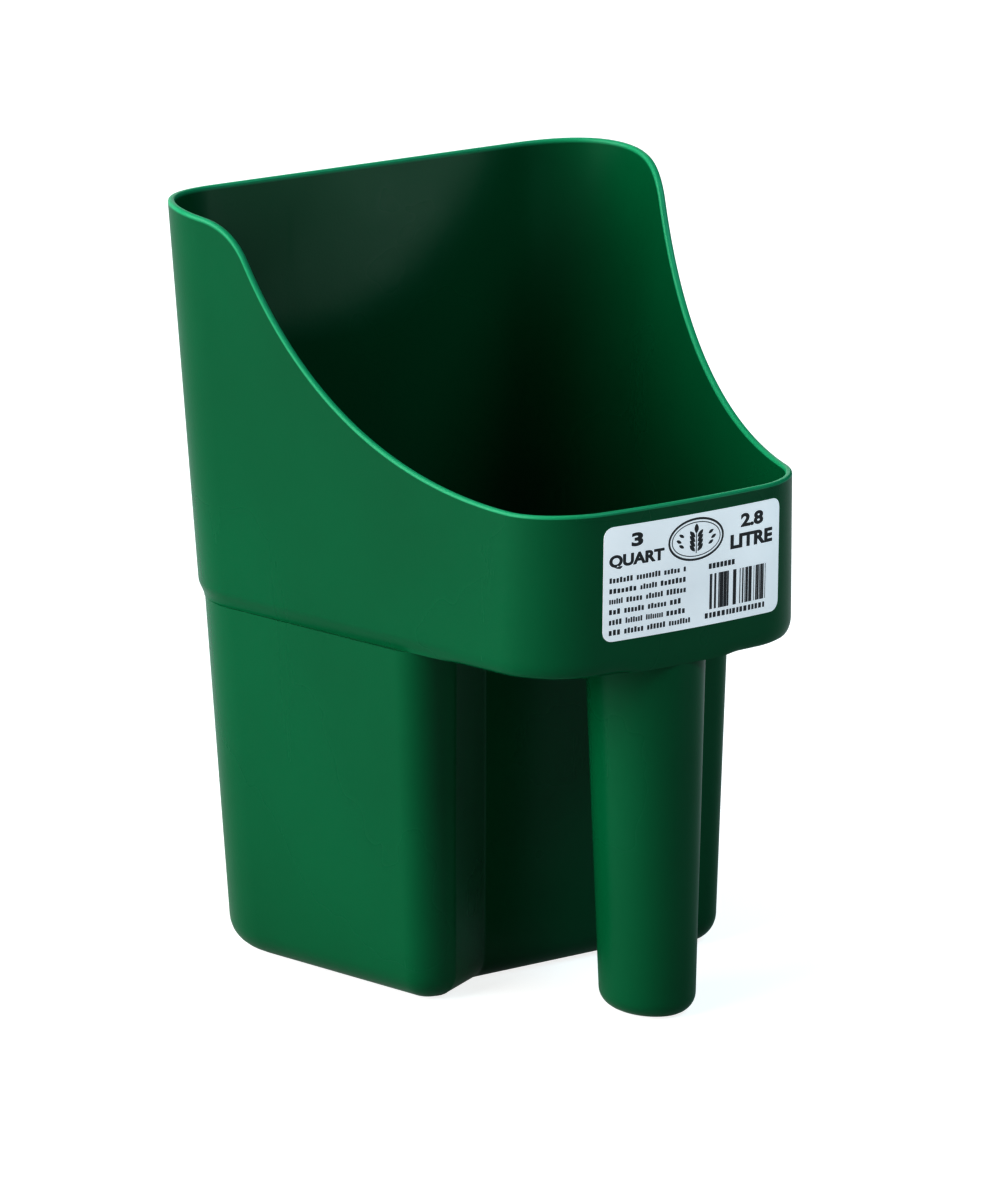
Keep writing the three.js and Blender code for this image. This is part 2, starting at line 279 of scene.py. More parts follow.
def rounded_outline(corners, radii, arc_steps, edge_steps):
    """A closed anticlockwise outline with rounded corners.

    A corner's arc starts the tangent length, radius times the tangent of half the turn, before
    the corner, and runs at one radius about a centre square to the arriving edge. Its points
    are the start turned about that centre by equal shares of the whole turn. Each straight
    edge is then split into equal shares.
    """
    corners, radii = np.asarray(corners, float), np.asarray(radii, float)
    arriving = corners - np.roll(corners, 1, 0)
    arriving /= np.linalg.norm(arriving, axis=1, keepdims=True)
    leaving = np.roll(arriving, -1, 0)
    turn = np.arctan2(
        arriving[:, 0] * leaving[:, 1] - arriving[:, 1] * leaving[:, 0],
        (arriving * leaving).sum(1),
    )
    reach = radii * np.tan(np.abs(turn) / 2)
    start = corners - arriving * reach[:, None]
    side = np.stack((-arriving[:, 1], arriving[:, 0]), 1) * (np.sign(turn) * radii)[:, None]
    angles = turn[:, None] * np.linspace(0, 1, arc_steps + 1)
    cos, sin = np.cos(angles), np.sin(angles)
    spoke = -side[:, None]
    arcs = (start + side)[:, None] + np.stack(
        (spoke[..., 0] * cos - spoke[..., 1] * sin, spoke[..., 0] * sin + spoke[..., 1] * cos), -1
    )
    pieces = []
    for arc, following, steps in zip(arcs, np.roll(arcs, -1, 0), edge_steps):
        share = (np.arange(1, steps) / steps)[:, None]
        pieces += [arc, mix(arc[-1], following[0], share)]
    return np.concatenate(pieces)


def outward(outline):
    """Unit normals of a closed anticlockwise outline: the line between a point's two
    neighbours, turned a quarter turn clockwise."""
    along = np.roll(outline, -1, 0) - np.roll(outline, 1, 0)
    along /= np.linalg.norm(along, axis=1, keepdims=True)
    return np.stack((along[:, 1], -along[:, 0]), 1)


def ring(outline, inset, height):
    """An outline moved inwards along its normals and lifted to a height."""
    moved = outline - outward(outline) * np.reshape(inset, (-1, 1))
    return np.column_stack((moved, np.broadcast_to(height, len(moved))))


def bezier(points, share):
    """A Bezier curve of any degree, by repeated mixing of neighbouring control points."""
    level = [np.asarray(p, float)[None] for p in points]
    t = np.asarray(share, float)[:, None]
    while len(level) > 1:
        level = [mix(a, b, t) for a, b in zip(level, level[1:])]
    return level[0]


def quarter(steps):
    """A quarter turn in equal steps."""
    return np.linspace(0, math.pi / 2, steps + 1)


def full_turn(steps):
    """A full turn in equal steps, without the last point, which is the first again."""
    return np.linspace(0, 2 * math.pi, steps + 1)[:-1]


class Surface:
    """Points and faces of one mesh, gathered as whole grids."""

    def __init__(self):
        self.points, self.faces, self.edge, self.count = [], [], [], 0

    def grid(self, rows, edge=None, closed=True):
        """Adds rows of points joined by quads, and returns their numbers as a grid. A closed
        grid joins its last column to its first. Edge says how much of a row is rim, which gets
        the rim's painted highlight."""
        rows = np.asarray(rows, float)
        height, width = rows.shape[:2]
        index = self.count + np.arange(height * width).reshape(height, width)
        self.count += height * width
        self.points.append(rows.reshape(-1, 3))
        marks = np.zeros(height) if edge is None else np.asarray(edge, float)
        self.edge.append(np.repeat(marks, width))
        near = np.concatenate((index, index[:, :1]), 1) if closed else index
        quads = np.stack((near[:-1, :-1], near[:-1, 1:], near[1:, 1:], near[1:, :-1]), -1)
        self.faces += quads.reshape(-1, 4).tolist()
        return index

    def level_fill(self, loops):
        """Fills a level region between its outer loop and its holes, given as numbers."""
        points = np.concatenate(self.points)
        outlines = [[Vector(p) for p in (points[loop] / MM).tolist()] for loop in loops]
        numbers = np.concatenate(loops)
        self.faces += numbers[np.array(tessellate_polygon(outlines))].tolist()

    def mesh(self, name):
        """One mesh: points at one place are merged, faces are turned outwards, level faces
        are shaded flat and the rest smooth, with sharp creases kept."""
        data = bpy.data.meshes.new(name)
        data.from_pydata(np.concatenate(self.points).tolist(), [], self.faces)
        # The edge attribute says where the rim's painted highlight goes.
        mark = data.attributes.new("edge", "FLOAT", "POINT")
        mark.data.foreach_set("value", np.concatenate(self.edge).astype(np.float32))
        shell = bmesh.new()
        shell.from_mesh(data)
        bmesh.ops.remove_doubles(shell, verts=shell.verts, dist=MERGE_DISTANCE)
        bmesh.ops.recalc_face_normals(shell, faces=shell.faces)
        shell.to_mesh(data)
        shell.free()
        normals = np.zeros(len(data.polygons) * 3, np.float32)
        data.polygons.foreach_get("normal", normals)
        level = np.abs(normals.reshape(-1, 3)[:, 2]) > LEVEL
        data.polygons.foreach_set("use_smooth", ~level)
        data.set_sharp_from_angle(angle=CREASE)
        return data


def place(name, surface, material, nodes=()):
    """Puts a surface into the scene as one piece of the scoop."""
    piece = bpy.data.objects.new(name, surface.mesh(name))
    bpy.context.scene.collection.objects.link(piece)
    piece.data.materials.append(material)
    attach(piece, BODY)
    if nodes:
        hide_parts(*nodes)


# ---- The scoop's forms ----


def depth_shift():
    """From depths as the sizes give them to depths from the middle of the CAD model's box."""
    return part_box("upper_bin")[1].y - settings().upper.back_at_rim - CLEARANCE


def upper_corners(height):
    """The upper bin's virtual corners at a height, and its front's half width and depth."""
    s = settings().upper
    to_rim = (height - s.step_height) / (s.rim_height - s.step_height)
    to_lip = (height - s.step_height) / (s.lip_height - s.step_height)
    back_half = mix(s.back_half_at_step, s.back_half_at_rim, to_rim)
    back = mix(s.back_at_step, s.back_at_rim, to_rim)
    front_half = mix(s.front_half_at_step, s.front_half_at_lip, to_lip)
    front = mix(s.front_at_step, s.front_at_lip, to_lip)
    corners = [(-front_half, front), (front_half, front), (back_half, back), (-back_half, back)]
    return corners, front_half, front


def bulge(x, y, front_half, front):
    """How far a plan point bulges forwards: one less the square of x over the front's half
    width, times the square of y over the front's depth."""
    across = np.maximum(0, 1 - (x / front_half) ** 2)
    return settings().upper.front_bow * across * np.clip(y / front, 0, 1) ** 2


def upper_outline(height):
    """The upper bin's outside in plan at a height."""
    s = settings().upper
    corners, front_half, front = upper_corners(height)
    radii = [s.front_radius, s.front_radius, s.back_radius, s.back_radius]
    outline = rounded_outline(corners, radii, ROUND_STEPS, UPPER_STEPS)
    outline[:, 1] -= bulge(outline[:, 0], outline[:, 1], front_half, front)
    return outline


def rim_line():
    """The rim's side view, as depths and heights from the back to the lip.

    A quadratic curve goes from the back over the crest, a second one rounds the corner, and a
    cubic curve, cut off where the rounding ends, sweeps down to the lip.
    """
    s = settings().upper
    corner = np.array((s.corner_depth, s.rim_height - s.corner_drop))
    lip = np.array((s.front_at_lip, s.lip_height))
    steep = -np.array((math.cos(s.sweep_angle), math.sin(s.sweep_angle)))
    controls = (corner, corner + steep * s.sweep_pull, lip + (s.lip_pull, 0), lip)
    sweep = bezier(controls, np.linspace(0, 1, 600))
    run = np.cumsum(np.linalg.norm(np.diff(sweep, axis=0, prepend=sweep[:1]), axis=1))
    sweep = sweep[run >= s.corner_reach]
    crest = np.array((s.crest_depth, s.rim_height + s.crest_rise))
    level = (crest - corner) / np.linalg.norm(crest - corner)
    start = corner + level * s.corner_reach
    share = np.linspace(0, 1, 40)
    over = bezier(((s.back_at_rim, s.rim_height), crest, start), share)
    line = np.concatenate((over, bezier((start, corner, sweep[0]), share)[1:], sweep[1:]))
    return line - (0, CLEARANCE)


def lower_outline(height):
    """The lower bin's outside in plan at a height. At the top it follows the upper bin."""
    s, upper = settings().lower, settings().upper
    up = height / upper.step_height
    back_half = mix(s.back_half, upper.back_half_at_step - upper.step_inset, up)
    back = mix(s.back, upper.back_at_step - upper.step_inset, up)
    along = (s.nose_front_at_step - upper.front_at_step) / (
        upper.back_at_step - upper.front_at_step
    )
    side = mix(upper.front_half_at_step, upper.back_half_at_step, along)
    nose = mix(s.nose_half, min(s.nose_half_at_step, side), up)
    front = mix(s.nose_front, s.nose_front_at_step, up)
    right = [(s.recess_half, front + s.recess_depth), (s.mouth_half, front)]
    right += [(nose, front), (back_half, back)]
    corners = right + [(-x, y) for x, y in reversed(right)]
    radii = [s.recess_radius, s.recess_radius, min(s.nose_radius, nose - s.mouth_half)]
    radii += [upper.back_radius] * 2 + radii[::-1]
    return rounded_outline(corners, radii, LOWER_ROUND_STEPS, LOWER_STEPS)


def handle_outline(height):
    """The handle's outside in plan at a height: an ellipse whose half axes taper evenly."""
    s = settings().handle
    up = height / settings().upper.step_height
    turn = full_turn(OVAL_STEPS)
    x = mix(s.half_width, s.half_width_at_step, up) * np.cos(turn)
    y = s.centre + mix(s.half_depth, s.half_depth_at_step, up) * np.sin(turn)
    return np.column_stack((x, y))


def shift_back(rows):
    """Rows of points, moved to the depths of the CAD model."""
    return np.asarray(rows) + (0, depth_shift(), 0)


def cup(outline, top, fillet, wall, upright, flare=()):
    """A cup's whole skin, in rows from the middle of its underside round the top edge to the
    middle of its floor. At the ground a row's inset and height follow a quarter round of the
    fillet's radius, and inside the same round less the wall."""

    def rounding(radius, floor, inset):
        turn = quarter(8)[:, None]
        return [
            ring(outline(z), inset + radius * (1 - math.sin(t)), z)
            for t, z in zip(turn[:, 0], floor + radius * (1 - np.cos(turn[:, 0])))
        ]

    def pole(row):
        centre = row.mean(0)
        return [mix(centre, row, share) for share in (0, 0.5)]

    outer = rounding(fillet, 0, 0)
    inner = rounding(fillet - wall, wall, wall)
    heights = mix(fillet, top, upright)
    rows = pole(outer[0]) + outer
    rows += [ring(outline(z), 0, z) for z in heights[1:-1]]
    rows += [ring(outline(z), inset, z) for inset, z in flare] or [ring(outline(top), 0, top)]
    rows += [ring(outline(z), wall, z) for z in heights[::-1]]
    rows += inner[::-1][1:] + pole(inner[0])[::-1]
    surface = Surface()
    surface.grid(shift_back(rows))
    return surface


def lower_bin_surface():
    """The lower bin: a deep cup with its recess, open into the upper bin."""
    upper = settings().upper
    upright = np.linspace(0, 1, 15)
    fillet = settings().lower.fillet
    return cup(lower_outline, upper.step_height, fillet, upper.wall, upright)


def handle_surface():
    """The handle: an oval cup, flared where it meets the overhang, except at its front, where
    it stays just behind the front wall's face. The flare is a hollow quarter round."""
    s, upper = settings().handle, settings().upper
    turn = full_turn(OVAL_STEPS)
    reach = s.root_round * smooth(np.sin(turn), -0.95, 0.1)
    flare = [
        (-reach * (1 - math.cos(t)), upper.step_height - s.root_round * (1 - math.sin(t)))
        for t in quarter(8)
    ]
    top = 1 - s.root_round / (upper.step_height - s.fillet)
    upright = np.append(np.linspace(0, top, 12), 1)
    return cup(handle_outline, upper.step_height, s.fillet, upper.wall, upright, flare)


def rim_rows(rim, inward):
    """Rows over the rim, from outside to inside.

    Across the rim the section is the wall's thickness with two rounded edges. It stands
    square to the rim's own line, in the plane of the wall, so it keeps its size where the
    rim runs down steeply. Rim is the outer edge's line and inward the way into the wall.
    """
    s = settings().upper
    line = np.roll(rim, -1, 0) - np.roll(rim, 1, 0)
    line /= np.linalg.norm(line, axis=1, keepdims=True)
    up = np.cross(line, inward)
    up /= np.linalg.norm(up, axis=1, keepdims=True)
    turn = quarter(6)
    out_in = s.rim_round * (1 - np.cos(turn))
    out_up = -s.rim_round * (1 - np.sin(turn))
    across = np.concatenate((out_in, s.wall - out_in[::-1]))
    over = np.concatenate((out_up, out_up[::-1]))
    return [rim + inward * a + up * b for a, b in zip(across, over)]


def upper_bin_surface():
    """The upper bin: walls up to the swept rim, and a floor with two holes.

    The wall is ruled between a ring at the step and the rim. The rim's height at each column
    is where the wall's depth meets the rim's side view, found by a few repeats.
    """
    s = settings().upper
    wall, step = s.wall, s.step_height
    low, high = upper_outline(step), upper_outline(s.rim_height)
    depths, heights = rim_line().T

    def wall_at(height):
        share = ((height - step) / (s.rim_height - step))[:, None]
        return mix(low, high, share)

    normals = outward(mix(low, high, 0.5))
    rim_z = np.full(len(low), s.lip_height)
    for _ in range(RIM_PASSES):
        depth = wall_at(rim_z)[:, 1] - normals[:, 1] * wall / 2
        rim_z = np.interp(-depth, -depths, heights)
    rim = np.column_stack((wall_at(rim_z), rim_z))
    inward = np.column_stack((-normals, np.zeros(len(normals))))
    over = rim_rows(rim, inward)

    front = smooth(-low[:, 1], OVERHANG_START, OVERHANG_END)
    beside = smooth(np.abs(low[:, 0]), HANDLE_SIDE_START, HANDLE_SIDE_END)
    round_in = s.overhang_round * mix(EDGE_BY_HANDLE, 1, beside)
    slope = []
    for t in np.linspace(0, 1, 9):
        z = step + s.step_rise * t
        ramp = s.step_inset * (1 - smooth(t, 0, 1))
        arc = round_in * (1 - math.sqrt(max(0, 1 - (1 - t) ** 2)))
        slope.append((z, mix(ramp, arc, front)))
    rows = [ring(wall_at(np.full(len(low), z)), inset, z) for z, inset in slope]
    upright = np.concatenate((np.linspace(0, 1, 14)[1:-1], NEAR_RIM))
    rows += [mix(rows[len(slope) - 1], over[0], share) for share in upright]
    # The rim's rows are marked for the painted highlight in the rim green, the rest are not.
    marks = [0] * len(rows) + [1] * len(over)
    rows += over

    at_corner = smooth(np.abs(low[:, 0]), FRONT_CORNER_START, FRONT_CORNER_END)
    front_fillet = mix(FLOOR_ROUND_BY_HANDLE, FLOOR_ROUND_AT_CORNERS, at_corner)
    fillet = mix(FLOOR_ROUND, front_fillet, front)
    floor = step + wall
    inner = []
    for t in quarter(6)[::-1]:
        z = floor + fillet * (1 - math.cos(t))
        inner.append(ring(wall_at(z), wall + fillet * (1 - math.sin(t)), z))
    rows += [mix(over[-1], inner[0], share) for share in 1 - upright[::-1]]
    rows += inner
    marks += [0] * (len(rows) - len(marks))

    surface = Surface()
    shell = surface.grid(shift_back(rows), marks)
    turn = full_turn(OVAL_STEPS)
    back_share = 0.5 + 0.5 * np.sin(turn)
    handle_round = mix(HANDLE_HOLE_ROUND_FRONT, HANDLE_HOLE_ROUND_BACK, back_share)
    under, over_floor = [shell[0]], [shell[-1]]
    for outline, radius in (
        (lower_outline(step), BIN_HOLE_ROUND),
        (handle_outline(step), handle_round),
    ):
        hole = [ring(outline, wall, step)]
        hole += [
            ring(outline, wall - radius * (1 - math.cos(t)), floor - radius * (1 - math.sin(t)))
            for t in quarter(5)
        ]
        index = surface.grid(shift_back(hole))
        under.append(index[0])
        over_floor.append(index[-1])
    surface.level_fill(under)
    surface.level_fill(over_floor)
    return surface


# ---- The label ----

# The printing's layout, as distances across and up from the label's middle.
LEFT_ACROSS, RIGHT_ACROSS = -21.8 * MM, 22.0 * MM  # middles of the two measures
FIGURE_UP, FIGURE_TALL = 13.4 * MM, 4.4 * MM
UNIT_UP, UNIT_TALL = 7.0 * MM, 4.6 * MM
BOLDNESS = 0.045  # how far a letter's outline is thickened, as a share of its type size
WORD_STRIPS = 25
LOOP_STEPS = 48

EMBLEM = (0.2 * MM, 10.2 * MM)
OVALS = (  # outer and inner half axes
    ((10.6 * MM, 6.9 * MM), (9.9 * MM, 6.2 * MM)),
    ((9.3 * MM, 5.6 * MM), (9.0 * MM, 5.3 * MM)),
)
STALK_HALF, STALK_ENDS = 0.15 * MM, (5.6 * MM, 12.0 * MM)
TOP_GRAIN_UP, TOP_GRAIN = 13.6 * MM, (3.2 * MM, 1.6 * MM)  # a grain's length and width
EAR_ACROSS, EAR_UP, EAR_PITCH, EAR_TILT = 1.5 * MM, 7.4 * MM, 1.5 * MM, 0.75
EAR_GRAIN = (3.0 * MM, 1.3 * MM)
SPRAY_ACROSS, SPRAY_PITCH, SPRAY_TILT = 6.6 * MM, 1.7 * MM, 0.5
SPRAY_GRAIN = (2.2 * MM, 1.0 * MM)

PRINT_LINES, PRINT_UP, PRINT_PITCH = 6, 0.4 * MM, 3.35 * MM
LINE_START, LINE_END, LAST_LINE_END = -31.6 * MM, -2.8 * MM, 0.4 * MM
LETTER_SHARE = 0.66  # a letter's ink as a share of its room
WORD_SPACE = 1.1 * MM

BLOCK_SPAN, BLOCK_ENDS, BLOCK_BARS = (5.2 * MM, 28.6 * MM), (-13.4 * MM, -2.0 * MM), 31
THINNEST_BAR = 0.22 * MM
MARKS, MARKS_START, MARK_ENDS = 16, 4.0 * MM, (-16.2 * MM, -14.5 * MM)
TOP_MARKS, TOP_MARK_PITCH, TOP_MARK_WIDTH = 7, 1.5 * MM, 1.1 * MM
TOP_MARK_ENDS = (-0.3 * MM, 1.4 * MM)


def on_front_wall(along, height, off):
    """Points in front of the front wall.

    Along is the way round the wall from its middle, and off the clearance to it. The wall
    runs straight and then turns about the corner's centre: x gains the sine and depth the
    cosine of the angle turned, times the corner's radius and the clearance.
    """
    s = settings().upper
    corners, front_half, front = upper_corners(height)
    side_x = corners[2][0] - corners[1][0]
    side_y = corners[2][1] - corners[1][1]
    straight = front_half - s.front_radius * np.tan(np.arctan2(side_y, side_x) / 2)
    turned = np.maximum(0, np.abs(along) - straight) / s.front_radius
    reach = s.front_radius + off
    x = np.minimum(np.abs(along), straight) + reach * np.sin(turned)
    y = front + s.front_radius - reach * np.cos(turned)
    y = y - bulge(x, y, front_half, front) + depth_shift()
    return np.stack(np.broadcast_arrays(np.sign(along) * x, y, height), -1)


def on_label(points):
    """From label space to the wall: across and up from the label's middle, and out from the
    film's back."""
    s = settings().label
    middle = settings().upper.step_height + s.above_step + s.height / 2
    across, up, out = np.moveaxis(np.asarray(points, float), -1, 0)
    return on_front_wall(s.offset + across, middle + up, s.stand_off + out)


def film_surface():
    """The label's film: a sheet in rows whose half width follows the rounded corners, closed
    over its edges."""
    s = settings().label
    turn = quarter(6)
    rise = s.radius * (1 - np.cos(turn))
    half = s.width / 2 - s.radius * (1 - np.sin(turn))
    heights = np.concatenate((rise, np.linspace(s.radius, s.height - s.radius, 10)[1:-1]))
    heights = np.concatenate((heights, s.height - rise[::-1])) - s.height / 2
    halves = np.concatenate((half, np.full(8, s.width / 2), half[::-1]))
    share = np.linspace(-1, 1, 61)
    across = halves[:, None] * share
    up = np.broadcast_to(heights[:, None], across.shape)
    front = np.stack((across, up, np.full_like(across, s.thickness)), -1)
    back = np.stack((across, up, np.zeros_like(across)), -1)[:, ::-1]
    body = np.concatenate((front, back), 1)
    surface = Surface()
    index = surface.grid(on_label(body))
    width = len(share)
    for row in (index[0], index[-1]):
        near, far = row[:width], row[width:][::-1]
        quads = np.stack((near[:-1], near[1:], far[1:], far[:-1]), -1)
        surface.faces += quads.tolist()
    return surface


def add_bars(surface, boxes):
    """Flat printed bars, given as rows of left, right, low and high in label space. Each is
    a closed tube of four corners in section, pinched shut at both ends."""
    s = settings().label
    left, right, low, high = np.asarray(boxes, float).T
    share = np.array((0, 0, 1 / 3, 2 / 3, 1, 1))
    across = mix(left[:, None], right[:, None], share)
    middle = ((low + high) / 2)[:, None]
    pinch = np.array((0, 1, 1, 1, 1, 0))
    half = ((high - low) / 2)[:, None] * pinch
    ends = (middle - half, middle + half)
    centre = (s.thickness + (s.thickness + s.ink)) / 2
    outs = (centre - pinch * s.ink / 2, centre + pinch * s.ink / 2)
    for k in range(len(left)):
        section = [
            np.stack((across[k], ends[end][k], outs[out]), -1)
            for end, out in ((0, 0), (1, 0), (1, 1), (0, 1))
        ]
        surface.grid(on_label(np.stack(section, 1)))


def add_loop(surface, centre, outer, inner):
    """A printed ring or disc: a closed tube of four corners in section, carried round a
    circle or an ellipse. Outer and inner are pairs of half axes."""
    s = settings().label
    turn = full_turn(LOOP_STEPS)
    base, top = s.thickness, s.thickness + s.ink
    rows = []
    for (a, b), out in ((outer, base), (outer, top), (inner, top), (inner, base)):
        x, y = centre[0] + a * np.cos(turn), centre[1] + b * np.sin(turn)
        rows.append(np.column_stack((x, y, np.full(len(turn), out))))
    rows.append(rows[0])
    surface.grid(on_label(rows))


def add_kernel(surface, centre, tilt, long, width):
    """A printed grain: a lens of two arcs. Half the width at a share of the length is the
    sine of that share of half a turn, to the power 0.8."""
    s = settings().label
    share = np.linspace(0, 1, 11)
    half = width / 2 * np.sin(share * math.pi) ** 0.8
    along = (share - 0.5) * long
    base, top = s.thickness, s.thickness + s.ink
    cos, sin = math.cos(tilt), math.sin(tilt)
    section = []
    for side, out in ((-1, base), (1, base), (1, top), (-1, top)):
        x = centre[0] + along * cos - side * half * sin
        y = centre[1] + along * sin + side * half * cos
        section.append(np.stack((x, y, np.full(len(x), out)), -1))
    surface.grid(on_label(np.stack(section, 1)))


def add_words(surface, text, centre, width, height):
    """Bold lettering of a width and a height about a centre, as a thin solid that is cut
    into narrow strips so that it bends with the wall."""
    s = settings().label
    curve = bpy.data.curves.new("words", "FONT")
    curve.body, curve.align_x = text, "CENTER"
    curve.offset, curve.extrude, curve.resolution_u = BOLDNESS, 0.5, 6
    writing = bpy.data.objects.new("words", curve)
    bpy.context.scene.collection.objects.link(writing)
    graph = bpy.context.evaluated_depsgraph_get()
    data = bpy.data.meshes.new_from_object(writing.evaluated_get(graph))
    bpy.data.objects.remove(writing)
    solid = bmesh.new()
    solid.from_mesh(data)
    bmesh.ops.remove_doubles(solid, verts=solid.verts, dist=1e-5)
    ends = [vert.co.x for vert in solid.verts]
    for x in np.linspace(min(ends), max(ends), WORD_STRIPS + 1)[1:-1]:
        geometry = solid.verts[:] + solid.edges[:] + solid.faces[:]
        bmesh.ops.bisect_plane(solid, geom=geometry, plane_co=(x, 0, 0), plane_no=(1, 0, 0))
    bmesh.ops.triangulate(solid, faces=solid.faces)
    solid.to_mesh(data)
    solid.free()
    points = np.zeros(len(data.vertices) * 3)
    data.vertices.foreach_get("co", points)
    points = points.reshape(-1, 3)
    corners = np.zeros(len(data.polygons) * 3, int)
    data.polygons.foreach_get("vertices", corners)
    bpy.data.meshes.remove(data)
    lowest, highest = points.min(0), points.max(0)
    shares = (points - lowest) / (highest - lowest)
    size = np.array((width, height, s.ink))
    flat = shares * size + (centre[0] - width / 2, centre[1] - height / 2, s.thickness)
    surface.faces += (corners.reshape(-1, 3) + surface.count).tolist()
    surface.points.append(on_label(flat))
    surface.edge.append(np.zeros(len(points)))
    surface.count += len(points)


def add_measure(surface, across, figure, figure_width, unit, unit_width):
    """One measure: a figure over its unit."""
    add_words(surface, figure, (across, FIGURE_UP), figure_width, FIGURE_TALL)
    add_words(surface, unit, (across, UNIT_UP), unit_width, UNIT_TALL)


def add_emblem(surface):
    """An ear of grain in a double oval, with three loose grains at either side."""
    x, y = EMBLEM
    for outer, inner in OVALS:
        add_loop(surface, EMBLEM, outer, inner)
    add_bars(surface, [(x - STALK_HALF, x + STALK_HALF, *STALK_ENDS)])
    add_kernel(surface, (x, TOP_GRAIN_UP), math.pi / 2, *TOP_GRAIN)
    for row in range(4):
        for side in (-1, 1):
            spot = (x + side * EAR_ACROSS, EAR_UP + EAR_PITCH * row)
            add_kernel(surface, spot, math.pi / 2 - side * EAR_TILT, *EAR_GRAIN)
    for side in (-1, 1):
        for row in (-1, 0, 1):
            spot = (x + side * (SPRAY_ACROSS - abs(row) * MM), y + SPRAY_PITCH * row)
            add_kernel(surface, spot, side * SPRAY_TILT, *SPRAY_GRAIN)


def small_print(rng):
    """Boxes for lines of plain letter-sized bars, in words of random length. The last line
    is the longest."""
    boxes = []
    for line in range(PRINT_LINES):
        low = PRINT_UP - PRINT_PITCH * line
        end = LAST_LINE_END if line == PRINT_LINES - 1 else LINE_END
        at = LINE_START
        while at < end:
            size = rng.uniform(0.8, 1.5) * MM
            letters = rng.integers(3, 9)
            for _ in range(letters):
                if at + size > end:
                    break
                tall = rng.uniform(1.3, 1.8) * MM
                boxes.append((at, at + size * LETTER_SHARE, low, low + tall))
                at += size
            at += WORD_SPACE
    return boxes


def bar_block(rng):
    """Boxes for a block of upright bars that says nothing, with a row of marks under it and
    a shorter one over it."""
    edges = mix(*BLOCK_SPAN, np.sort(rng.uniform(0, 1, 2 * BLOCK_BARS)))
    starts = edges[0::2]
    ends = np.maximum(edges[1::2], starts + THINNEST_BAR)
    boxes = [(start, end, *BLOCK_ENDS) for start, end in zip(starts, ends)]
    at = MARKS_START
    for size in rng.uniform(1.1, 1.9, MARKS) * MM:
        boxes.append((at, at + size * LETTER_SHARE, *MARK_ENDS))
        at += size
    for k in range(TOP_MARKS):
        start = BLOCK_SPAN[0] + TOP_MARK_PITCH * k
        boxes.append((start, start + TOP_MARK_WIDTH, *TOP_MARK_ENDS))
    return boxes


def print_surface():
    """All the label's printing: the measure at both sides, the emblem, the small print and
    the block of bars."""
    s = settings().label
    surface = Surface()
    add_measure(surface, LEFT_ACROSS, s.left_top, 4.2 * MM, s.left_low, 20.0 * MM)
    add_measure(surface, RIGHT_ACROSS, s.right_top, 9.0 * MM, s.right_low, 17.0 * MM)
    add_emblem(surface)
    rng = np.random.default_rng(s.seed)
    add_bars(surface, small_print(rng) + bar_block(rng))
    return surface


# ---- Finishes ----


GRAIN = ("Grain Scale", "Wave Scale", "Wave Share", "Cloud Scale")


class Nodes:
    """A small helper that adds nodes to a tree and links them."""

    def __init__(self, tree):
        self.tree = tree

    def add(self, kind, inputs=None, **values):
        """One node, with settings by name and inputs by socket name: a value or a socket."""
        node = self.tree.nodes.new(kind)
        for key, value in values.items():
            setattr(node, key, value)
        for key, value in (inputs or {}).items():
            if isinstance(value, bpy.types.NodeSocket):
                self.tree.links.new(value, node.inputs[key])
            else:
                node.inputs[key].default_value = value
        return node

    def noise(self, vector, scale, detail, roughness=0.5):
        """The value of a noise texture."""
        inputs = {"Vector": vector, "Scale": scale, "Detail": detail, "Roughness": roughness}
        return self.add("ShaderNodeTexNoise", inputs).outputs[0]

    def multiply_add(self, *values):
        """The first value times the second, plus the third."""
        inputs = dict(enumerate(values))
        return self.add("ShaderNodeMath", inputs, operation="MULTIPLY_ADD").outputs[0]

    def mix_colours(self, share, first, second):
        """From one colour, given as red, green and blue or as a socket, to another."""
        ends = [e if isinstance(e, bpy.types.NodeSocket) else (*e, 1) for e in (first, second)]
        inputs = {0: share, 6: ends[0], 7: ends[1]}
        return self.add("ShaderNodeMix", inputs, data_type="RGBA").outputs[2]

    def stretch(self, value, low=0.0, high=1.0, onto=(0.0, 1.0)):
        """A value's range from low to high, moved onto another range and held within it."""
        inputs = {"Value": value, "From Min": low, "From Max": high}
        inputs |= {"To Min": onto[0], "To Max": onto[1]}
        return self.add("ShaderNodeMapRange", inputs).outputs[0]


def surface_group():
    """What every finish shares: a fine grain for the bump, a slow waviness under it, and two
    masks, one cloudy and one of fine handling scratches."""
    existing = bpy.data.node_groups.get("fine_surface")
    if existing:
        return existing
    tree = bpy.data.node_groups.new("fine_surface", "ShaderNodeTree")
    tree.interface.new_socket("Vector", in_out="INPUT", socket_type="NodeSocketVector")
    for label, default in zip((*GRAIN, "Scratch Scale"), (900.0, 22.0, 0.5, 14.0, 60.0)):
        socket = tree.interface.new_socket(label, in_out="INPUT", socket_type="NodeSocketFloat")
        socket.default_value = default
    build = Nodes(tree)
    start = build.add("NodeGroupInput").outputs
    place_at = start["Vector"]
    grain = build.noise(place_at, start["Grain Scale"], 2.0)
    wave = build.noise(place_at, start["Wave Scale"], 1.0)
    height = build.add("ShaderNodeMix", {0: start["Wave Share"], 2: grain, 3: wave})
    cloud = build.noise(place_at, start["Cloud Scale"], 4.0)
    upright = build.add("ShaderNodeMapping", {"Vector": place_at, "Scale": (1.0, 1.0, 0.12)})
    lines = build.noise(upright.outputs[0], start["Scratch Scale"], 6.0, 0.7)
    for label in ("Height", "Cloud", "Scratches"):
        tree.interface.new_socket(label, in_out="OUTPUT", socket_type="NodeSocketFloat")
    cloudy, thin = build.stretch(cloud, 0.35, 0.68), build.stretch(lines, 0.60, 0.72)
    results = {"Height": height.outputs[0], "Cloud": cloudy, "Scratches": thin}
    build.add("NodeGroupOutput", results)
    return tree


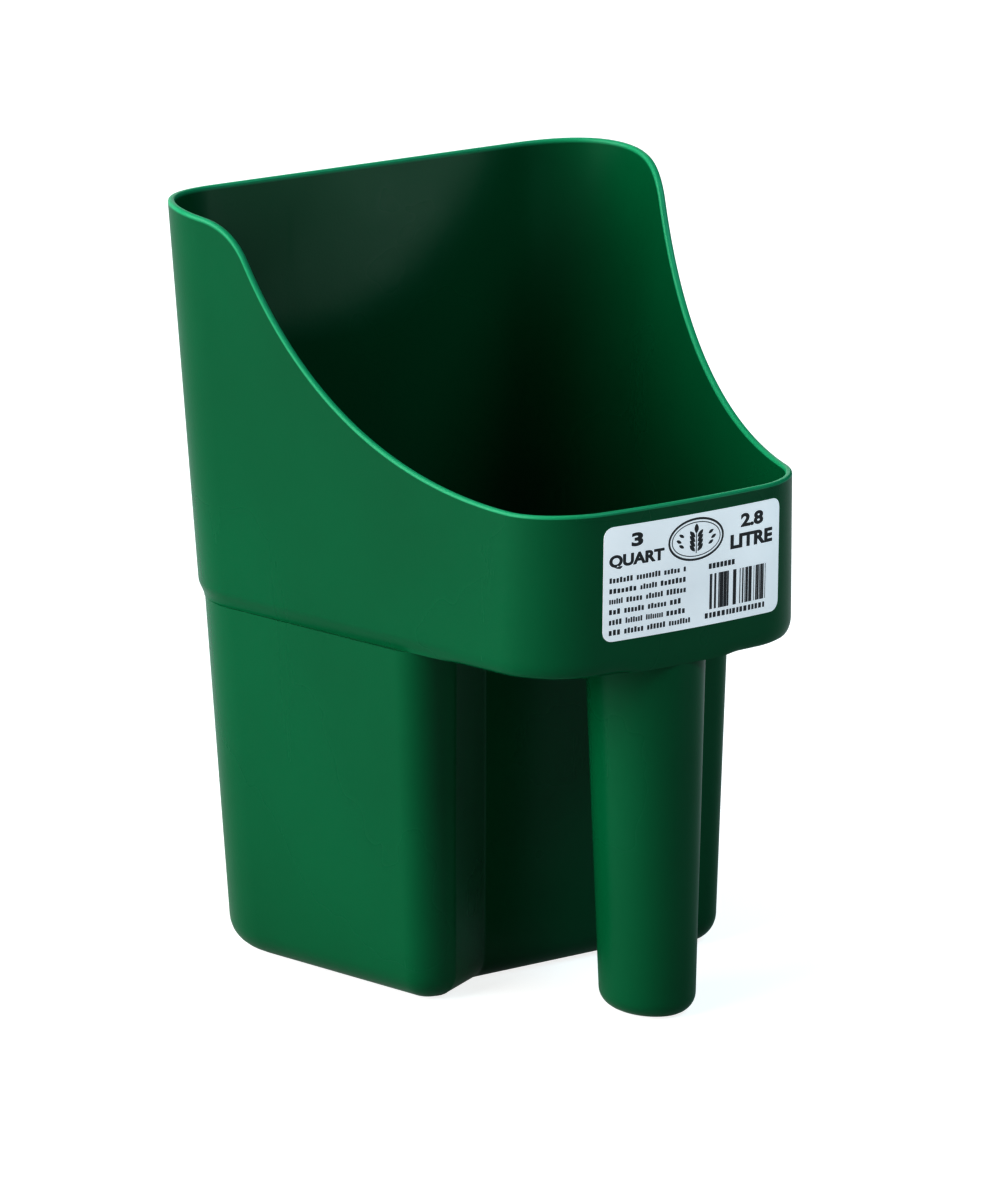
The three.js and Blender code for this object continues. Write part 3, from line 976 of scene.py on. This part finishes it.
def finish(name, first, second, edge, roughness, spread, grain, bump, painted_glow=0.0):
    """A satin finish: two colours mixed by the clouds, a third as a painted highlight on the rim's
    marked edge, roughness that varies with clouds and scratches, and a bump of the shared grain.
    Painted glow is the strength at which the shown colour is given out as light, a painted glow
    that makes the surface brighter than the lamps alone would."""
    existing = bpy.data.materials.get(name)
    if existing:
        return existing
    material = bpy.data.materials.new(name)
    material.use_nodes = True
    material.node_tree.nodes.clear()
    build = Nodes(material.node_tree)
    place_at = build.add("ShaderNodeTexCoord").outputs["Object"]
    shared = build.add("ShaderNodeGroup", node_tree=surface_group())
    build.tree.links.new(place_at, shared.inputs["Vector"])
    for key, value in zip(GRAIN, grain):
        shared.inputs[key].default_value = value
    tone = build.mix_colours(shared.outputs["Cloud"], first, second)
    # The edge attribute marks the rim, where the third colour is a painted highlight.
    rim = build.add("ShaderNodeAttribute", attribute_name="edge")
    shown = build.mix_colours(rim.outputs["Fac"], tone, edge)
    satin = (roughness - spread, roughness + spread)
    rough = build.stretch(shared.outputs["Cloud"], onto=satin)
    marked = build.multiply_add(shared.outputs["Scratches"], spread, rough)
    relief = build.add(
        "ShaderNodeBump",
        {"Height": shared.outputs["Height"], "Strength": bump, "Distance": 0.0004},
    )
    inputs = {"Base Color": shown, "Roughness": marked, "Normal": relief.outputs[0]}
    shader = build.add("ShaderNodeBsdfPrincipled", inputs)
    # Painted glow: the shown colour is also given out as light, though nothing here is a lamp.
    if painted_glow:
        build.tree.links.new(shown, shader.inputs["Emission Color"])
        shader.inputs["Emission Strength"].default_value = painted_glow
    out = build.add("ShaderNodeOutputMaterial")
    build.tree.links.new(shader.outputs[0], out.inputs["Surface"])
    return material


def plastic():
    """Satin green polyethylene."""
    s = settings().finish
    material = finish(
        # The third colour is the rim's painted highlight.
        "moulded_polyethylene", s.green, s.deep_green, s.rim_highlight_green, s.plastic_roughness, 0.05,
        (1300.0, 20.0, 0.75, 9.0), 0.25,
    )
    shader = material.node_tree.nodes["Principled BSDF"]
    shader.inputs["IOR"].default_value = 1.5
    shader.inputs["Specular IOR Level"].default_value = 0.2
    return material


def floor_finish():
    """A plain pale floor. To the camera and in reflections it also glows, as a sweep that is
    lit through does, so that shadows on it stay faint."""
    s = settings().finish
    shade = tuple(c * 0.985 for c in s.floor)
    material = finish(
        "studio_floor", s.floor, shade, s.floor, 0.8, 0.04,
        (60.0, 4.0, 0.3, 2.0), 0.05,
    )
    build = Nodes(material.node_tree)
    path = build.add("ShaderNodeLightPath").outputs
    seen = build.multiply_add(path["Is Glossy Ray"], s.floor_shine, path["Is Camera Ray"])
    glow = build.mix_colours(seen, (0, 0, 0), (s.floor_glow,) * 3)
    shader = material.node_tree.nodes["Principled BSDF"]
    build.tree.links.new(glow, shader.inputs["Emission Color"])
    shader.inputs["Emission Strength"].default_value = 1.0
    return material


# ---- Operators ----


class BuildUpperBin(bpy.types.Operator):
    """Build the upper bin with its swept rim and its floor"""

    bl_idname = "feed_scoop.upper_bin"
    bl_label = "Upper bin"

    def execute(self, context):
        place("upper_bin_shell", upper_bin_surface(), plastic(), ["upper_bin"])
        return {"FINISHED"}


class BuildLowerBin(bpy.types.Operator):
    """Build the lower bin with the recess for the knuckles"""

    bl_idname = "feed_scoop.lower_bin"
    bl_label = "Lower bin"

    def execute(self, context):
        place("lower_bin_shell", lower_bin_surface(), plastic(), ["lower_bin"])
        return {"FINISHED"}


class BuildHandle(bpy.types.Operator):
    """Build the upright hollow handle"""

    bl_idname = "feed_scoop.handle"
    bl_label = "Handle"

    def execute(self, context):
        place("handle_shell", handle_surface(), plastic(), ["handle_grip"])
        return {"FINISHED"}


class BuildLabel(bpy.types.Operator):
    """Build the label's film and its printing"""

    bl_idname = "feed_scoop.label"
    bl_label = "Label"

    def execute(self, context):
        s = settings().finish
        # The film's last figure is a painted glow, so that the label stays white in the front wall's
        # shade.
        film = finish(
            "label_white", s.film, s.film_grey, s.film, 0.38, 0.08,
            (700.0, 45.0, 0.6, 30.0), 0.12, 0.32,
        )
        ink = finish(
            "label_ink", s.ink, s.ink_grey, s.ink, 0.45, 0.08,
            (900.0, 60.0, 0.4, 120.0), 0.1,
        )
        place("label_sheet", film_surface(), film, ["label_film"])
        place("label_print", print_surface(), ink)
        return {"FINISHED"}


# Each light's name, the setting of its power, its width and height, its place and its tint.
WHITE, COOL = (1, 1, 1), (0.45, 0.85, 1.0)
LIGHTS = (
    ("key", "key_power", (2.6, 2.0), (-2.1, 0.45, 1.1), WHITE),
    ("top", "top_power", (2.0, 1.4), (-0.3, 0.5, 2.2), WHITE),
    ("fill", "fill_power", (1.2, 1.2), (1.0, -1.5, 2.2), COOL),
    ("back", "back_power", (3.6, 1.4), (0.4, 2.4, 0.8), WHITE),
)
LIT_POINT = (0, 0, 0.12)  # what they all face
CARD_SIZE, CARD_AT, OVER_CARD = (0.5, 0.5), (0.74, -1.0, 0.01), (0.74, -1.0, 1)
SKY = (0.96, 0.97, 1.0)
FLOOR_DROP = 0.2 * MM  # keeps the floor just clear of the scoop's underside


def area_light(name, power, size, position, target, tint=WHITE):
    """A soft rectangular light at a place, facing a target."""
    data = bpy.data.lights.new(name, "AREA")
    data.shape, data.size, data.size_y = "RECTANGLE", size[0], size[1]
    data.energy, data.color = power, tint
    lamp = bpy.data.objects.new(name, data)
    bpy.context.scene.collection.objects.link(lamp)
    lamp.location = position
    away = Vector(position) - Vector(target)
    lamp.rotation_euler = away.to_track_quat("Z", "Y").to_euler()
    return lamp


class BuildStage(bpy.types.Operator):
    """Build the camera, the soft lights, the pale surround and the floor"""

    bl_idname = "feed_scoop.stage"
    bl_label = "Stage"

    def execute(self, context):
        s = settings().stage
        self.add_camera(context, s)
        self.add_floor(context, s)
        self.add_surround(context, s)
        for name, power, size, position, tint in LIGHTS:
            area_light(name, getattr(s, power), size, position, LIT_POINT, tint)
        card = area_light("card", s.card_power, CARD_SIZE, CARD_AT, OVER_CARD)
        card.visible_diffuse = card.visible_camera = False
        return {"FINISHED"}

    @staticmethod
    def add_camera(context, s):
        """The camera stands off its target along its turn and rise, rolled about its axis."""
        turn, rise, roll = s.camera_turn, s.camera_rise, s.camera_roll
        back = Vector(
            (-math.sin(turn) * math.cos(rise), -math.cos(turn) * math.cos(rise), math.sin(rise))
        )
        right = (-back).cross(Vector((0, 0, 1))).normalized()
        up = right.cross(-back)
        target = Vector((0, depth_shift(), s.target_height)) + right * s.target_across
        across = right * math.cos(roll) + up * math.sin(roll)
        upright = up * math.cos(roll) - right * math.sin(roll)
        data = bpy.data.cameras.new("camera")
        data.sensor_width, data.lens = 36.0, s.lens
        data.clip_start, data.clip_end = 0.05, 50.0
        camera = bpy.data.objects.new("camera", data)
        context.scene.collection.objects.link(camera)
        axes = Matrix((across, upright, back)).transposed().to_4x4()
        camera.matrix_world = Matrix.Translation(target + back * s.camera_distance) @ axes
        context.scene.camera = camera

    @staticmethod
    def add_floor(context, s):
        """A wide level floor with a faint unevenness."""
        half = s.floor_half
        surface = Surface()
        line = np.linspace(-half, half, 9)
        x, y = np.meshgrid(line, line)
        surface.grid(np.stack((x, y, np.full_like(x, -FLOOR_DROP)), -1), closed=False)
        data = surface.mesh("studio_floor")
        floor = bpy.data.objects.new("studio_floor", data)
        context.scene.collection.objects.link(floor)
        data.materials.append(floor_finish())

    @staticmethod
    def add_surround(context, s):
        """Pale to look at, and dimmer as a source of light."""
        world = bpy.data.worlds.new("surround")
        context.scene.world = world
        world.use_nodes = True
        world.node_tree.nodes.clear()
        build = Nodes(world.node_tree)
        seen = build.add("ShaderNodeLightPath").outputs["Is Camera Ray"]
        strength = build.stretch(seen, onto=(s.surround, 1.0))
        light = build.add("ShaderNodeBackground", {"Color": (*SKY, 1), "Strength": strength})
        out = build.add("ShaderNodeOutputWorld")
        build.tree.links.new(light.outputs[0], out.inputs["Surface"])
        context.scene.view_settings.view_transform = "Standard"
        context.scene.view_settings.look = "High Contrast"


OPERATORS = (BuildStage, BuildUpperBin, BuildLowerBin, BuildHandle, BuildLabel)


class ScoopPanel(bpy.types.Panel):
    """Lists the scoop's pieces in the sidebar"""

    bl_idname = "VIEW3D_PT_feed_scoop"
    bl_label = "Feed scoop"
    bl_space_type = "VIEW_3D"
    bl_region_type = "UI"
    bl_category = "Feed scoop"

    def draw(self, context):
        for operator in OPERATORS:
            self.layout.operator(operator.bl_idname)


SIZES = (UpperBinSizes, LowerBinSizes, HandleSizes, LabelSizes, FinishColours, StageSettings)
CLASSES = (*SIZES, ScoopSettings, *OPERATORS, ScoopPanel)


def register():
    for item in CLASSES:
        bpy.utils.register_class(item)
    bpy.types.Scene.feed_scoop = PointerProperty(type=ScoopSettings)


def unregister():
    del bpy.types.Scene.feed_scoop
    for item in reversed(CLASSES):
        bpy.utils.unregister_class(item)


def main():
    """Registers the add-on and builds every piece."""
    register()
    bpy.ops.feed_scoop.stage()
    bpy.ops.feed_scoop.upper_bin()
    bpy.ops.feed_scoop.lower_bin()
    bpy.ops.feed_scoop.handle()
    bpy.ops.feed_scoop.label()


if __name__ == "__main__":
    main()
